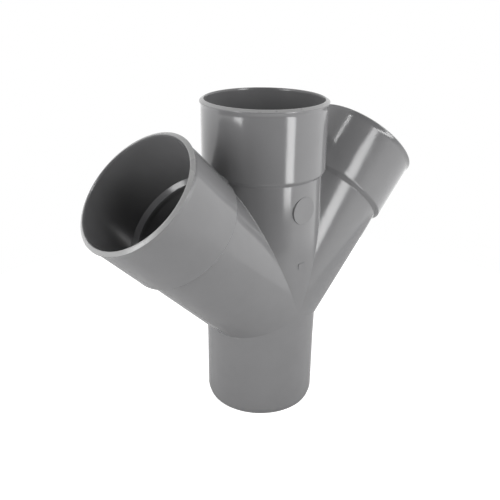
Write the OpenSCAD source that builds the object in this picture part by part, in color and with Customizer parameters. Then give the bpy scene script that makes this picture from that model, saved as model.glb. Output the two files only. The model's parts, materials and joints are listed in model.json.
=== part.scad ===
// Double wye drainage fitting: one moulding with a plain spigot below, a socket in line with it
// above, and two opposite branches with sockets. All the axes cross at one point, in one plane.
// The origin is the centre of the spigot's end, +Z is the run's axis and +X goes to a branch.

/* [Pipe] */
// Outside diameter of the pipes that the sockets take, and of the spigot
pipe_d = 100; // [75:1:125]
// Wall of the spigot, which sets the bore of the whole fitting
spigot_wall = 3; // [2:0.1:5]
// How far the outside of the body stands out from the outside of the spigot
body_swell = 0.3; // [0.1:0.1:1]

/* [Layout] */
// Angle between each branch and the run
branch_angle = 45; // [40:1:60]
// Length of the spigot's plain part, with its bevel
spigot_length = 62; // [40:1:100]
// Length of the slight swell from the spigot up to the body
swell_length = 14; // [10:1:40]
// Length of full-width body between the swell and the lowest point of the branches
join_gap = 1.6; // [1:0.1:10]

/* [Sockets] */
// Depth of each socket from its mouth to the front edge of the pipe's stop
socket_depth = 56.8; // [40:0.1:80]
// Space all round between a pipe and its socket
socket_gap = 0.15; // [0.05:0.05:0.4]
// Wall of each socket
socket_wall = 3.1; // [2.4:0.1:5]
// How much the mouth opens, all round, to let the pipe in
lead_in = 0.5; // [0.2:0.1:1]
// Depth of the mouth's opening slope
lead_in_depth = 1.5; // [1:0.1:4]
// Length of the sloping stop inside, along the axis
stop_length = 4.8; // [3:0.1:10]
// How far the socket's outside runs on behind the stop's front edge
stop_cover = 2.9; // [1:0.1:6]
// Length of the shoulder from the socket's outside down to the body
shoulder_length = 2; // [1:0.1:6]
// From the crotch, where the outsides of two bodies part, out to the shoulders
shoulder_gap = 0.4; // [0.3:0.1:1]

/* [Mouth bead] */
// Width of the flat ring that is the socket's end face
face_flat = 0.6; // [0.3:0.1:1.5]
// How far the bead round each mouth stands out from the socket
bead_out = 1.5; // [0.5:0.1:3]
// Length of the bead's rounded front
bead_front = 2.2; // [1:0.1:4]
// Width of the bead's crest along the axis
bead_crest = 0.6; // [0.3:0.1:3]
// Length of the bead's slope back to the socket
bead_back = 2; // [1:0.1:5]

/* [Spigot end] */
// How far the end is bevelled in, all round
end_bevel = 1.6; // [0.4:0.1:1.9]
// Length of the bevel along the axis
end_bevel_length = 5; // [2:0.5:12]

/* [Marks] */
// Diameter of the flat round boss on the front of the run
boss_d = 24; // [12:1:30]
// How far the boss stands out from the front of the run
boss_out = 1; // [0.5:0.1:2]
// From the run's shoulder down to the boss
boss_drop = 12; // [4:1:20]
// Width of the plain pad below the boss
pad_w = 8; // [4:1:12]
// Height of the plain pad
pad_h = 5; // [3:1:8]
// How far the pad stands out from the front of the run
pad_out = 0.4; // [0.2:0.1:1]
// From the middle of the boss down to the middle of the pad
pad_drop = 50; // [25:1:55]

/* [Hidden] */

// Facets of a full round
ROUND = 128;
// Steps of the bead's rounded front
BEAD_STEPS = 4;
// How far a cut runs past a face
OVER = 1;
UPVC = "#808280";

spigot_r = pipe_d / 2;
bore_r = spigot_r - spigot_wall;
body_r = spigot_r + body_swell;
socket_r = spigot_r + socket_gap;
socket_out_r = socket_r + socket_wall;
mouth_r = socket_r + lead_in;
face_r = mouth_r + face_flat;
crest_r = socket_out_r + bead_out;

// Up the spigot, to where the axes cross
swell_top = spigot_length + swell_length;
half_angle = branch_angle / 2;
crossing_z = swell_top + join_gap + body_r * tan(half_angle);

// Out along each arm, from the crossing to its mouth
crotch = body_r / tan(half_angle);
shoulder_foot = crotch + shoulder_gap;
shoulder_top = shoulder_foot + shoulder_length;
stop_top = shoulder_top + stop_cover;
arm = stop_top + socket_depth;
crest_foot = arm - bead_front - bead_crest;

boss_z = crossing_z + shoulder_foot - boss_drop - boss_d / 2;
pad_z = boss_z - pad_drop;

// Points of the bead's rounded front, a quarter of an ellipse, from the crest up to the face
bead_round = [
    for (i = [BEAD_STEPS:-1:0])
        let (turn = 90 * i / BEAD_STEPS)
        [face_r + (crest_r - face_r) * sin(turn), arm - bead_front * (1 - cos(turn))]
];

// Half outline of the outside of an arm, from the crossing to its mouth
arm_outside = concat(
    [[0, 0], [body_r, 0], [body_r, shoulder_foot], [socket_out_r, shoulder_top],
     [socket_out_r, crest_foot - bead_back], [crest_r, crest_foot]],
    bead_round,
    [[0, arm]]
);

// Half outline of the way through an arm, from the crossing out past its mouth
arm_inside = [
    [0, 0], [bore_r, 0], [bore_r, stop_top - stop_length], [socket_r, stop_top],
    [socket_r, arm - lead_in_depth], [mouth_r, arm], [mouth_r, arm + OVER], [0, arm + OVER]
];

// Half outline of the spigot, from its end up to the crossing
spigot_outside = [
    [0, 0], [spigot_r - end_bevel, 0], [spigot_r, end_bevel_length], [spigot_r, spigot_length],
    [body_r, swell_top], [body_r, crossing_z], [0, crossing_z]
];

module turned(outline) rotate_extrude($fn = ROUND) polygon(outline);

// Places its child at the crossing, leaning from the run towards +X
module at_crossing(lean) translate([0, 0, crossing_z]) rotate([0, lean, 0]) children();

// The run's upper arm and the two branches, all with one outline
module arms(outline)
    for (lean = [0, -branch_angle, branch_angle])
        at_crossing(lean) turned(outline);

module way_through() {
    translate([0, 0, -OVER]) cylinder(r = bore_r, h = crossing_z + OVER, $fn = ROUND);
    arms(arm_inside);
}

// Flat disc on the front of the run
module boss()
    translate([0, 0, boss_z]) rotate([90, 0, 0])
        cylinder(d = boss_d, h = body_r + boss_out, $fn = ROUND);

// Plain pad on the front of the run
module pad()
    translate([-pad_w / 2, -(body_r + pad_out), pad_z - pad_h / 2])
        cube([pad_w, body_r + pad_out, pad_h]);

module double_wye()
    color(UPVC) difference() {
        union() {
            turned(spigot_outside);
            arms(arm_outside);
            boss();
            pad();
        }
        way_through();
    }

double_wye();
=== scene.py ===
"""Looks of a grey drainage fitting, a double wye moulded in one piece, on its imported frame."""
import json
from math import atan2, cos, pi, radians, sin, tan

import bmesh
import bpy
from mathutils import Matrix, Vector


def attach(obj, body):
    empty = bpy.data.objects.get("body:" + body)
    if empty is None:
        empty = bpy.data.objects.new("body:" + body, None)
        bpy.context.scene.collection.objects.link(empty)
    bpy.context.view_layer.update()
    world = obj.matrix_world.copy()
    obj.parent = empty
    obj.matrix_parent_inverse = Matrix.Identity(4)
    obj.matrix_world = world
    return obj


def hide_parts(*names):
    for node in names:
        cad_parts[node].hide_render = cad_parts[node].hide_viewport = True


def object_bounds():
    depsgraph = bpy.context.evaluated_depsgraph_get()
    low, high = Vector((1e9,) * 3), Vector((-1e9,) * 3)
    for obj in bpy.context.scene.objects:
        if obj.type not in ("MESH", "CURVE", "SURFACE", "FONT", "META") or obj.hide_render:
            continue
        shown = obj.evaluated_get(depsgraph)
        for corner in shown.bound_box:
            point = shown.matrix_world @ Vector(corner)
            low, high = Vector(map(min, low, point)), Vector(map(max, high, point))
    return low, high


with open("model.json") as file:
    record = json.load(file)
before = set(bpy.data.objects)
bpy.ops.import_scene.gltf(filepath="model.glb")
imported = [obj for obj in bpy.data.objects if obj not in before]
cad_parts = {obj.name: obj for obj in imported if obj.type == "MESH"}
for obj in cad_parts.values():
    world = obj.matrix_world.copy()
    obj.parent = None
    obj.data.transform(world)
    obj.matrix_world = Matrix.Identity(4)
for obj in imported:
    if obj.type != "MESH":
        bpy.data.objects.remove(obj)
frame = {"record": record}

cad_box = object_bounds()

# Sizes that the frame gives, in metres
MM = 0.001
mounts = {mount["name"]: mount for mount in frame["record"]["mounts"]}
branch_axis = Vector(mounts["right_socket"]["axis"])
branch_angle = atan2(branch_axis.x, branch_axis.z)
branch_middle = Vector(mounts["right_socket"]["pos_m"])
crossing = Vector((0, 0, branch_middle.z - branch_middle.x / tan(branch_angle)))
arm = cad_box[1].z - crossing.z
spigot_r = mounts["spigot"]["dims"]["r_mm"] * MM
socket_r = mounts["run_socket"]["dims"]["r_mm"] * MM

# Sizes of the moulding. The shoulders, beads, stops and boss are finer than in the frame's model,
# and stay within 2 mm of it
WALL = 3.0 * MM
BODY_SWELL = 0.3 * MM
SOCKET_WALL = 3.1 * MM
SOCKET_DEPTH = 56.0 * MM
SOCKET_DRAFT = 0.3 * MM
LEAD_IN = 0.5 * MM
LEAD_IN_DEPTH = 1.5 * MM
STOP_R = 46.2 * MM
STOP_LENGTH = 3.5 * MM
STOP_FLAT = 2.0 * MM
STOP_FOOT = 6.0 * MM
STOP_COVER = 3.0 * MM
SHOULDER_LIP = 0.1 * MM
SHOULDER_LENGTH = 3.3 * MM
SHOULDER_BLEND = 4.0 * MM
FACE_FLAT = 0.9 * MM
BEAD_OUT = 1.2 * MM
BEAD_FRONT = 1.9 * MM
BEAD_BACK = 3.4 * MM
SPIGOT_PLAIN = 62.0 * MM
SWELL_LENGTH = 14.0 * MM
END_BEVEL = 1.6 * MM
END_BEVEL_LENGTH = 5.0 * MM
BOSS_R = 11.8 * MM
BOSS_DRAFT = 0.5 * MM
BOSS_OUT = 0.35 * MM
BOSS_EDGE = 0.2 * MM
BOSS_ABOVE = 98.0 * MM
PAD_WIDTH = 8.0 * MM
PAD_HEIGHT = 5.0 * MM
PAD_OUT = 0.4 * MM
PAD_CORNER = 1.0 * MM
PAD_EDGE = 0.15 * MM
PAD_BELOW_BOSS = 50.0 * MM
# How deep the boss and the pad are rooted in the wall
ROOT = 2.2 * MM

# How far from a corner of the outline its rounding starts
SHOULDER_FOOT_ROUND = 0.5 * MM
SHOULDER_TOP_ROUND = 0.9 * MM
SHOULDER_BLEND_ROUND = 2.0 * MM
BEAD_BACK_ROUND = 1.4 * MM
BEAD_ROUND = 0.6 * MM
FACE_ROUND = 0.5 * MM
MOUTH_ROUND = 0.4 * MM
LEAD_IN_ROUND = 0.6 * MM
STOP_ROUND = 0.3 * MM
STOP_FLAT_ROUND = 0.5 * MM
STOP_FOOT_ROUND = 1.0 * MM
SWELL_ROUND = 3.0 * MM
END_BEVEL_ROUND = 1.0 * MM
END_ROUND = 0.5 * MM
END_INSIDE_ROUND = 0.3 * MM

# Steps of a full round, of the boss's round, of a rounded corner and of the pad's edge
AROUND = 256
BOSS_AROUND = 128
CORNER_STEPS = 4
PAD_EDGE_STEPS = 2
# Radius of the fillet in the seams, and how many cuts beside each seam shape it
SEAM_FILLET = 0.8 * MM
SEAM_CUTS = 7
# How far an arm's tube is first made past the crossing
PAST = 6.0 * MM
# Points of one arm closer than this are one point
SAME = 0.002 * MM
# Points of two arms closer than this at a seam are one point
SEAM_SAME = 0.01 * MM
# A point closer than this to a cut's plane lies on it
ON_PLANE = 0.0005 * MM
# Edges that turn by more degrees than this are shaded as sharp
SHARP = 35

# The finishes of the PVC: name, darker and paler grey, least and greatest roughness
FINISHES = (
    # The outside, moulded against polished steel: the eye gets a clear gloss on a neutral mid grey
    ("rigid_pvc_moulded", "#777778", "#7F7F80", 0.12, 0.19),
    # The bores, drawn off long steel cores: the eye gets a duller grey, and its darker grey is painted
    # shade inside the bores
    ("rigid_pvc_bore_painted_shade", "#6D6D6E", "#757576", 0.2, 0.28),
    # The edges of the mouths, scuffed in stacking, which softens their lights: the eye gets a paler line,
    # partly scuff and partly a painted sheen
    ("rigid_pvc_scuffed_edge_painted_sheen", "#888888", "#949494", 0.24, 0.34),
)
# Places in that list of the bore's finish, darker as painted shade, and of the mouths' scuffed finish,
# paler as a painted sheen
BORE_SHADE_FINISH = 1
MOUTH_SCUFF_SHEEN_FINISH = 2
# How far behind each mouth its edge is scuffed and paled with a painted sheen
MOUTH_EDGE = 1.7 * MM

body_r = spigot_r + BODY_SWELL
bore_r = spigot_r - WALL
socket_out_r = socket_r + SOCKET_WALL
mouth_r = socket_r + LEAD_IN
face_r = mouth_r + FACE_FLAT
crest_r = socket_out_r + BEAD_OUT


def half_outline(corners):
    """A new mesh of one open line through corners of (radius, height, rounding), each rounded off."""
    line = bmesh.new()
    points = [line.verts.new((radius, 0, height)) for radius, height, _ in corners]
    for one, next_one in zip(points, points[1:]):
        line.edges.new((one, next_one))
    for point, (_, _, rounding) in zip(points, corners):
        if rounding > 0:
            bmesh.ops.bevel(line, geom=[point], offset=rounding, offset_type="OFFSET",
                            affect="VERTICES", segments=CORNER_STEPS, profile=0.5, material=-1)
    return line


def turned(corners):
    """The outline turned about the Z axis, as an open shell."""
    shell = half_outline(corners)
    bmesh.ops.spin(shell, geom=shell.verts[:] + shell.edges[:], cent=(0, 0, 0), axis=(0, 0, 1),
                   angle=2 * pi, steps=AROUND, use_merge=True)
    bmesh.ops.remove_doubles(shell, verts=shell.verts, dist=SAME)
    return shell


def socket_arm():
    """An arm with its socket, up the Z axis from the crossing: its outside, then its inside."""
    stop = arm - SOCKET_DEPTH
    stop_end = stop - STOP_LENGTH
    shoulder_top = stop - STOP_COVER
    shoulder_foot = shoulder_top - SHOULDER_LENGTH
    crest = arm - BEAD_FRONT
    shell = turned([
        (body_r, -PAST, 0),
        (body_r, shoulder_foot, SHOULDER_FOOT_ROUND),
        (socket_out_r + SHOULDER_LIP, shoulder_top, SHOULDER_TOP_ROUND),
        (socket_out_r, shoulder_top + SHOULDER_BLEND, SHOULDER_BLEND_ROUND),
        (socket_out_r, crest - BEAD_BACK, BEAD_BACK_ROUND),
        (crest_r, crest, BEAD_ROUND),
        (face_r, arm, FACE_ROUND),
        (mouth_r, arm, MOUTH_ROUND),
        (socket_r, arm - LEAD_IN_DEPTH, LEAD_IN_ROUND),
        (socket_r - SOCKET_DRAFT, stop, STOP_ROUND),
        (STOP_R, stop_end, STOP_ROUND),
        (STOP_R, stop_end - STOP_FLAT, STOP_FLAT_ROUND),
        (bore_r, stop_end - STOP_FOOT, STOP_FOOT_ROUND),
        (bore_r, -PAST, 0),
    ])
    for face in shell.faces:
        middle = face.calc_center_median()
        radius = middle.xy.length
        inside_r = mouth_r if middle.z > stop else body_r - WALL / 2
        # Faces at the mouth's edge get the scuffed finish, whose paler grey is partly a painted sheen
        if middle.z > arm - MOUTH_EDGE and radius > mouth_r + LEAD_IN / 2:
            face.material_index = MOUTH_SCUFF_SHEEN_FINISH
        # Faces of the bore get the darker grey that is painted shade
        elif radius < inside_r and not stop_end < middle.z < stop:
            face.material_index = BORE_SHADE_FINISH
    return shell


def spigot_arm():
    """The spigot, up the Z axis from the crossing to its end: its outside, then its inside."""
    end = crossing.z
    shell = turned([
        (body_r, -PAST, 0),
        (body_r, end - SPIGOT_PLAIN - SWELL_LENGTH, SWELL_ROUND),
        (spigot_r, end - SPIGOT_PLAIN, SWELL_ROUND),
        (spigot_r, end - END_BEVEL_LENGTH, END_BEVEL_ROUND),
        (spigot_r - END_BEVEL, end, END_ROUND),
        (bore_r, end, END_INSIDE_ROUND),
        (bore_r, -PAST, 0),
    ])
    # Faces whose middles are less than this outside the bore's radius have the bore's finish, with its
    # painted shade
    margin = 0.05 * MM
    for face in shell.faces:
        if face.calc_center_median().xy.length < bore_r + margin:
            face.material_index = BORE_SHADE_FINISH
    return shell


def seam_cuts(shell, seam):
    """Cuts the shell along the seam's plane, with rows of cuts beside it, and drops what lies past it."""
    for row in range(SEAM_CUTS, -1, -1):
        away = SEAM_FILLET * row / SEAM_CUTS
        bmesh.ops.bisect_plane(shell, geom=shell.verts[:] + shell.edges[:] + shell.faces[:],
                               dist=ON_PLANE, plane_co=seam * away, plane_no=seam,
                               clear_inner=row == 0)


def fillet(shell, seams):
    """Rounds the surface off beside each seam's plane, by the fillet's radius, to meet its mirror image."""
    # The slope's divisor is at least this, because it nears zero where a surface lies along the plane
    least_divisor = 0.05
    moves = {}
    for point in shell.verts:
        for seam in seams:
            away = point.co.dot(seam)
            steep = point.normal.dot(seam)
            reach = SEAM_FILLET * abs(steep)
            if away < reach:
                along = (point.normal - seam * steep).normalized()
                slope = abs(steep) / max((1 - steep * steep) ** 0.5, least_divisor)
                lift = slope * (reach - max(away, 0)) ** 2 / (2 * reach)
                moves[point] = moves.get(point, Vector()) + along * (lift if steep < 0 else -lift)
    for point, move in moves.items():
        point.co += move


def joined_arms():
    """The run, branches and spigot, each cut on the planes half-way to its neighbours, and joined."""
    leans = {"run": 0, "right": branch_angle, "spigot": pi, "left": -branch_angle}
    neighbours = {"run": ("left", "right"), "right": ("run", "spigot"),
                  "spigot": ("left", "right"), "left": ("run", "spigot")}
    ways = {name: Vector((sin(lean), 0, cos(lean))) for name, lean in leans.items()}
    whole = bmesh.new()
    for name, lean in leans.items():
        shell = spigot_arm() if name == "spigot" else socket_arm()
        bmesh.ops.rotate(shell, verts=shell.verts, cent=(0, 0, 0), matrix=Matrix.Rotation(lean, 3, "Y"))
        seams = [(ways[name] - ways[other]).normalized() for other in neighbours[name]]
        for seam in seams:
            seam_cuts(shell, seam)
        shell.normal_update()
        fillet(shell, seams)
        part = bpy.data.meshes.new(name)
        shell.to_mesh(part)
        shell.free()
        whole.from_mesh(part)
        bpy.data.meshes.remove(part)
    bmesh.ops.remove_doubles(whole, verts=whole.verts, dist=SEAM_SAME)
    bmesh.ops.translate(whole, verts=whole.verts, vec=crossing)
    bmesh.ops.recalc_face_normals(whole, faces=whole.faces)
    return whole


def bevelled(shape, edges, size, steps):
    """Rounds off these edges of the shape."""
    bmesh.ops.bevel(shape, geom=edges, offset=size, affect="EDGES", segments=steps, profile=0.5,
                    material=-1)


def round_boss():
    """The flat round boss on the front of the run, with sloping sides, rooted in the wall."""
    boss = bmesh.new()
    depth = ROOT + BOSS_OUT
    bmesh.ops.create_cone(boss, cap_ends=True, segments=BOSS_AROUND, radius1=BOSS_R + BOSS_DRAFT,
                          radius2=BOSS_R, depth=depth)
    bmesh.ops.rotate(boss, verts=boss.verts, matrix=Matrix.Rotation(pi / 2, 3, "X"))
    front_y = -(body_r + BOSS_OUT)
    bmesh.ops.translate(boss, verts=boss.verts, vec=(0, front_y + depth / 2, crossing.z + BOSS_ABOVE))
    rim = [edge for edge in boss.edges if all(point.co.y < front_y + SAME for point in edge.verts)]
    bevelled(boss, rim, BOSS_EDGE, CORNER_STEPS)
    return boss


def small_pad():
    """The small plain pad below the boss, rooted in the wall."""
    pad = bmesh.new()
    depth = ROOT + PAD_OUT
    bmesh.ops.create_cube(pad, size=1)
    bmesh.ops.scale(pad, verts=pad.verts, vec=(PAD_WIDTH, depth, PAD_HEIGHT))
    middle = Vector((0, -(body_r + PAD_OUT) + depth / 2, crossing.z + BOSS_ABOVE - PAD_BELOW_BOSS))
    bmesh.ops.translate(pad, verts=pad.verts, vec=middle)
    uprights = [edge for edge in pad.edges if abs(edge.verts[0].co.y - edge.verts[1].co.y) > depth / 2]
    bevelled(pad, uprights, PAD_CORNER, CORNER_STEPS)
    front = [edge for edge in pad.edges if all(point.co.y < middle.y for point in edge.verts)]
    bevelled(pad, front, PAD_EDGE, PAD_EDGE_STEPS)
    return pad


def piece_of(name, shape):
    """A new object at the origin that holds the mesh."""
    mesh = bpy.data.meshes.new(name)
    shape.to_mesh(mesh)
    shape.free()
    made = bpy.data.objects.new(name, mesh)
    bpy.context.scene.collection.objects.link(made)
    return made


def moulded_with(whole, added):
    """Joins a closed shape to the whole, as one skin, and removes the shape's own object."""
    join = whole.modifiers.new(added.name, "BOOLEAN")
    join.operation = "UNION"
    join.solver = "EXACT"
    join.object = added
    graph = bpy.context.evaluated_depsgraph_get()
    merged = bpy.data.meshes.new_from_object(whole.evaluated_get(graph))
    whole.modifiers.clear()
    whole.data = merged
    bpy.data.objects.remove(added)


def linear(code):
    """The linear colour of an sRGB hex value."""
    parts = [int(code[i:i + 2], 16) / 255 for i in (1, 3, 5)]
    return [part / 12.92 if part <= 0.04045 else ((part + 0.055) / 1.055) ** 2.4 for part in parts] + [1]


def add_node(tree, kind, settings=None, **inputs):
    """Adds a node with its settings, and sets or links its inputs.

    An input is given by its name, with _ for a space, or by _ and its number."""
    made = tree.nodes.new(kind)
    for name, value in (settings or {}).items():
        setattr(made, name, value)
    for name, value in inputs.items():
        socket = made.inputs[int(name[1:]) if name[1:].isdigit() else name.replace("_", " ")]
        if isinstance(value, bpy.types.NodeSocket):
            tree.links.new(value, socket)
        else:
            socket.default_value = value
    return made


def moulded_pvc(name, dark, pale, glossy, dull):
    """Rigid PVC, injection moulded, between two greys and two roughnesses.

    The eye gets a neutral grey, whose reflections keep their edges but waver a little where the
    plastic shrank, and a thin haze of dust and handling that dulls it in soft patches."""
    haze_size = 24 * MM
    sink_size = 35 * MM
    sink_depth = 0.4 * MM
    # The ripple of the moulded skin is finer than a millimetre, and is drawn coarser so that it shows
    skin_size = 1.6 * MM
    skin_depth = 0.02 * MM
    # A little above the 1.54 of plain PVC, matched to the strength of the reflections in the photo
    refraction = 1.6
    material = bpy.data.materials.new(name)
    material.use_nodes = True
    tree = material.node_tree
    tree.nodes.clear()
    place = add_node(tree, "ShaderNodeTexCoord").outputs["Object"]
    haze = add_node(tree, "ShaderNodeTexNoise", Vector=place, Scale=1 / haze_size, Detail=5.0,
                    Roughness=0.6)
    colour = add_node(tree, "ShaderNodeMix", {"data_type": "RGBA"}, _0=haze.outputs["Fac"],
                      _6=linear(dark), _7=linear(pale))
    dulled = add_node(tree, "ShaderNodeMapRange", Value=haze.outputs["Fac"], From_Min=0.3, From_Max=0.75,
                      To_Min=glossy, To_Max=dull)
    sink = add_node(tree, "ShaderNodeTexNoise", Vector=place, Scale=1 / sink_size, Detail=1.0)
    skin = add_node(tree, "ShaderNodeTexNoise", Vector=place, Scale=1 / skin_size, Detail=2.0)
    waver = add_node(tree, "ShaderNodeBump", Height=sink.outputs["Fac"], Strength=0.25,
                     Distance=sink_depth)
    grain = add_node(tree, "ShaderNodeBump", Height=skin.outputs["Fac"], Strength=0.12,
                     Distance=skin_depth, Normal=waver.outputs["Normal"])
    surface = add_node(tree, "ShaderNodeBsdfPrincipled", Base_Color=colour.outputs[2],
                       Roughness=dulled.outputs["Result"], IOR=refraction, Normal=grain.outputs["Normal"])
    add_node(tree, "ShaderNodeOutputMaterial", Surface=surface.outputs["BSDF"])
    return material


def fitting():
    """The whole moulding in place of the frame's node."""
    whole = piece_of("double_wye_moulding", joined_arms())
    for finish in FINISHES:
        whole.data.materials.append(moulded_pvc(*finish))
    moulded_with(whole, piece_of("boss", round_boss()))
    moulded_with(whole, piece_of("pad", small_pad()))
    whole.data.shade_smooth()
    whole.data.set_sharp_from_angle(angle=radians(SHARP))
    even = whole.modifiers.new("even_shading", "WEIGHTED_NORMAL")
    even.keep_sharp = True
    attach(whole, "root")
    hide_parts("double_wye")


def camera():
    """Stands where the photo was taken from: turned, raised and rolled, and moved aside and up a little."""
    azimuth = radians(-41.775)
    elevation = radians(23.34)
    roll = radians(0.645)
    distance = 610.35 * MM
    aside = -10.25 * MM
    above = 42.44 * MM
    lens = 46.81
    sensor = 36
    back = Vector((sin(azimuth) * cos(elevation), -cos(azimuth) * cos(elevation), sin(elevation)))
    level = Vector((cos(azimuth), sin(azimuth), 0))
    upright = back.cross(level)
    right = cos(roll) * level + sin(roll) * upright
    up = cos(roll) * upright - sin(roll) * level
    eye = bpy.data.objects.new("camera", bpy.data.cameras.new("camera"))
    bpy.context.scene.collection.objects.link(eye)
    place = Matrix.Translation(crossing + back * distance + right * aside + up * above)
    eye.matrix_world = place @ Matrix((right, up, back)).transposed().to_4x4()
    eye.data.lens = lens
    eye.data.sensor_width = sensor
    bpy.context.scene.camera = eye


def direction(azimuth):
    """The level direction at an azimuth in degrees, from -Y towards +X, as the camera's."""
    turn = radians(azimuth)
    return Vector((sin(turn), -cos(turn), 0))


def floor():
    """A pale round table that the camera sees as white, with the fitting's shadow close to its foot."""
    table_r = 0.42
    table_steps = 96
    camera_lift = 0.8
    shape = bmesh.new()
    bmesh.ops.create_circle(shape, cap_ends=True, segments=table_steps, radius=table_r)
    ground = piece_of("studio_floor", shape)
    # Matt white paper: the eye gets an even white, with no more on it than a soft shadow
    material = bpy.data.materials.new("white_paper_floor")
    material.use_nodes = True
    tree = material.node_tree
    tree.nodes.clear()
    seen = add_node(tree, "ShaderNodeLightPath").outputs["Is Camera Ray"]
    lifted = add_node(tree, "ShaderNodeMath", {"operation": "MULTIPLY"}, _0=seen, _1=camera_lift)
    paper = add_node(tree, "ShaderNodeBsdfDiffuse", Color=linear("#D8D8D8"))
    lift = add_node(tree, "ShaderNodeEmission", Strength=lifted.outputs["Value"])
    both = add_node(tree, "ShaderNodeAddShader", _0=paper.outputs["BSDF"], _1=lift.outputs["Emission"])
    add_node(tree, "ShaderNodeOutputMaterial", Surface=both.outputs["Shader"])
    ground.data.materials.append(material)


def studio():
    """A white tent with its open, dark front round the camera. The camera itself sees plain white."""
    # Azimuth of the middle of the back wall, and the cosines from it where the opening ends and
    # where the wall is at its full brightness
    back_wall = 142
    opening_ends = -0.8
    wall_full = -0.45
    wall_brightness = 1.24
    # The tent dims from this height of the look towards the zenith, down to a share of the wall's light
    dims_from = 0.5
    dims_to = 0.9
    top_share = 0.5
    world = bpy.data.worlds.new("studio")
    bpy.context.scene.world = world
    world.use_nodes = True
    tree = world.node_tree
    tree.nodes.clear()
    way = add_node(tree, "ShaderNodeTexCoord").outputs["Generated"]
    flat = add_node(tree, "ShaderNodeVectorMath", {"operation": "MULTIPLY"}, _0=way, _1=(1, 1, 0))
    level = add_node(tree, "ShaderNodeVectorMath", {"operation": "NORMALIZE"}, _0=flat.outputs["Vector"])
    behind = add_node(tree, "ShaderNodeVectorMath", {"operation": "DOT_PRODUCT"},
                      _0=level.outputs["Vector"], _1=direction(back_wall))
    wall = add_node(tree, "ShaderNodeMapRange", {"interpolation_type": "SMOOTHSTEP"},
                    Value=behind.outputs["Value"], From_Min=opening_ends, From_Max=wall_full,
                    To_Min=0.0, To_Max=wall_brightness)
    height = add_node(tree, "ShaderNodeSeparateXYZ", Vector=way)
    top = add_node(tree, "ShaderNodeMapRange", Value=height.outputs["Z"], From_Min=dims_from,
                   From_Max=dims_to, To_Min=1.0, To_Max=top_share)
    cloth = add_node(tree, "ShaderNodeMath", {"operation": "MULTIPLY"}, _0=wall.outputs["Result"],
                     _1=top.outputs["Result"])
    seen = add_node(tree, "ShaderNodeLightPath").outputs["Is Camera Ray"]
    tent = add_node(tree, "ShaderNodeBackground", Color=(1, 1, 1, 1), Strength=cloth.outputs["Value"])
    white = add_node(tree, "ShaderNodeBackground", Color=(1, 1, 1, 1), Strength=1.0)
    both = add_node(tree, "ShaderNodeMixShader", _0=seen, _1=tent.outputs["Background"],
                    _2=white.outputs["Background"])
    add_node(tree, "ShaderNodeOutputWorld", Surface=both.outputs["Shader"])


def lamp(name, place, facing, along, width, length, brightness):
    """A rectangular lamp with its length along a direction, as bright as so many times white paper."""
    light = bpy.data.lights.new(name, "AREA")
    light.shape = "RECTANGLE"
    light.size = width
    light.size_y = length
    light.energy = pi * width * length * brightness
    made = bpy.data.objects.new(name, light)
    bpy.context.scene.collection.objects.link(made)
    back = facing.normalized()
    up = (along - back * along.dot(back)).normalized()
    turn = Matrix((up.cross(back), up, back)).transposed().to_4x4()
    made.matrix_world = Matrix.Translation(place) @ turn


def upright_strip(name, azimuth, high, brightness):
    """A strip lamp that stands round the fitting and faces it, from just above the floor to a height."""
    away = 0.493
    width = 0.125
    low = 0.045
    way = direction(azimuth)
    middle = way * away + Vector((0, 0, (low + high) / 2))
    lamp(name, middle, way, Vector((0, 0, 1)), width, high - low, brightness)


def lamps():
    """Two upright strips, equally far to either side of the camera, and a small lamp overhead."""
    upright_strip("front_strip", azimuth=3.3, high=0.68, brightness=7.6)
    upright_strip("left_strip", azimuth=-86.8, high=0.52, brightness=6.6)
    overhead = Vector((-0.234, 0.006, 1.0))
    length_way = Vector((-68, -42, 0))
    lamp("overhead_strip", overhead, overhead - crossing, length_way, width=0.065, length=0.08,
         brightness=12.0)


camera()
fitting()
floor()
studio()
lamps()
bpy.context.scene.view_settings.view_transform = "Standard"
